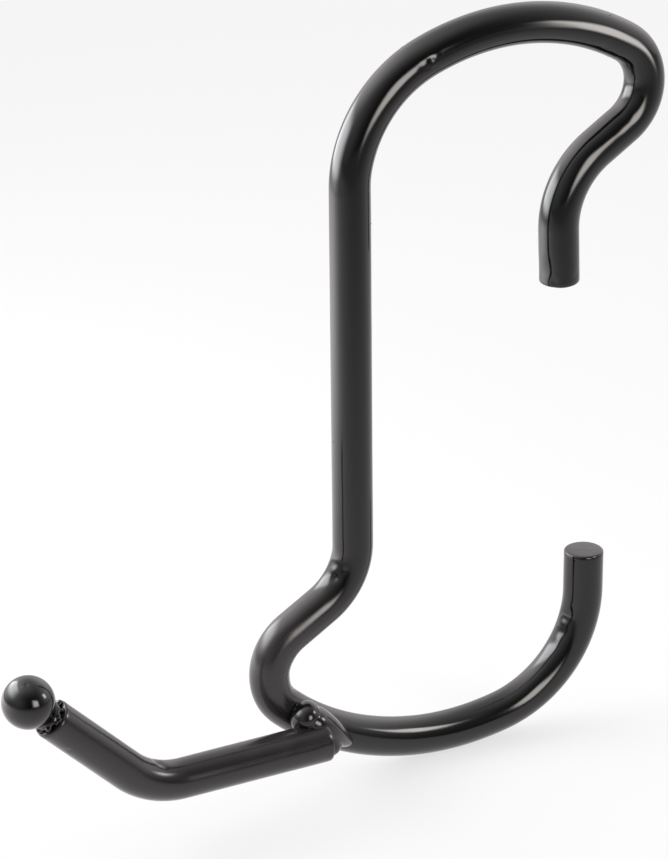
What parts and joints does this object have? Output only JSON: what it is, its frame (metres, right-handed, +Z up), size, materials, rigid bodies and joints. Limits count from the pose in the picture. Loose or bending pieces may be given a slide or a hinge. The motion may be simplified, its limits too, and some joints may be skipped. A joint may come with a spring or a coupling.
{
  "type": "rail hook",
  "caption": "Hook bent from round black-coated bar: a top hook for a rail, an open bowl below, and a side peg tipped with a ball.",
  "frame": {"origin": "rail seat: the point under the crown of the top hook that rests on the rail, midway through the bar's thickness", "axes": "+Z up along the stem, +X towards the open side of both mouths, +Y towards the back of the hook's flat plane; the peg points to -X on the -Y face"},
  "size_m": [0.1472, 0.0171, 0.1547],
  "materials": {
    "bar_coat": "gloss black coating over a bent steel bar",
    "weld_coat": "the same gloss black coating over rippled weld metal"
  },
  "bodies": {
    "root": {"hook_bar": "bar_coat", "peg_bar": "bar_coat", "peg_ball": "bar_coat", "ball_weld": "weld_coat", "peg_weld": "weld_coat"}
  },
  "joints": []
}
